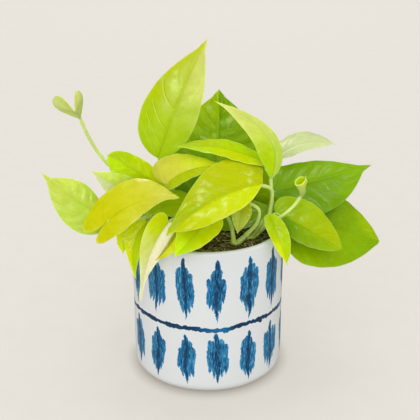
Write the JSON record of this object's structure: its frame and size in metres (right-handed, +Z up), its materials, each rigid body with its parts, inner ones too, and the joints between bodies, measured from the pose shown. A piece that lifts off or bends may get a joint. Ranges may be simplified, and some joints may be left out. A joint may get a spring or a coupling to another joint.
{
  "type": "potted neon pothos",
  "caption": "Pothos with broad neon-green heart-shaped leaves in a white glazed cylinder pot painted with blue brush strokes",
  "frame": {"origin": "centre of the pot's flat underside", "axes": "+Z up along the pot's axis, -Y towards the side shown in the picture, +X to its right"},
  "size_m": [0.2613, 0.1779, 0.2611],
  "materials": {
    "glazed_pot": "gloss",
    "potting_mix": "matte",
    "vine": "satin",
    "leaf_neon": "satin",
    "leaf_lime": "satin",
    "leaf_yellow": "satin",
    "leaf_ochre": "satin",
    "leaf_cream": "satin",
    "leaf_pale": "satin",
    "leaf_green": "satin",
    "leaf_deep": "satin"
  },
  "bodies": {
    "root": {"pot": "glazed_pot", "potting_mix": "potting_mix", "vine_front_centre": "vine", "vine_front_right": "vine", "vine_front_left": "vine", "vine_left": "vine", "vine_centre": "vine", "vine_centre_right": "vine", "vine_back_centre": "vine", "vine_right": "vine", "vine_back_left": "vine", "vine_back_right": "vine", "leaf_front_broad": "leaf_neon", "leaf_front_lower": "leaf_neon", "leaf_left_folded": "leaf_yellow", "leaf_left_outer": "leaf_pale", "leaf_upper_left": "leaf_lime", "leaf_left_mint": "leaf_pale", "leaf_top_tall": "leaf_lime", "leaf_back_quilted": "leaf_deep", "leaf_arched_pale": "leaf_cream", "leaf_centre_lime": "leaf_neon", "leaf_centre_ochre": "leaf_ochre", "leaf_right_pale": "leaf_pale", "leaf_right_deep": "leaf_deep", "leaf_right_middle": "leaf_green", "leaf_right_low": "leaf_green", "leaf_right_drooping": "leaf_neon", "leaf_centre_small": "leaf_lime", "leaf_hanging_left": "leaf_lime", "leaf_hanging_cream": "leaf_cream", "leaf_hanging_olive": "leaf_green", "leaf_hanging_small": "leaf_lime", "leaf_inner_left": "leaf_green", "leaf_inner_middle": "leaf_deep", "leaf_inner_right": "leaf_deep", "leaf_inner_low": "leaf_deep", "leaf_back_centre": "leaf_green", "leaf_back_left": "leaf_neon", "leaf_back_right": "leaf_lime", "leaf_back_left_low": "leaf_lime", "leaf_back_right_low": "leaf_green", "leaf_back_hanging_left": "leaf_green", "leaf_back_hanging_right": "leaf_neon", "leaf_back_upper_left": "leaf_lime", "leaf_back_upper_right": "leaf_deep", "leaf_young_heart": "leaf_lime", "leaf_young_rolled": "leaf_lime"}
  },
  "joints": []
}
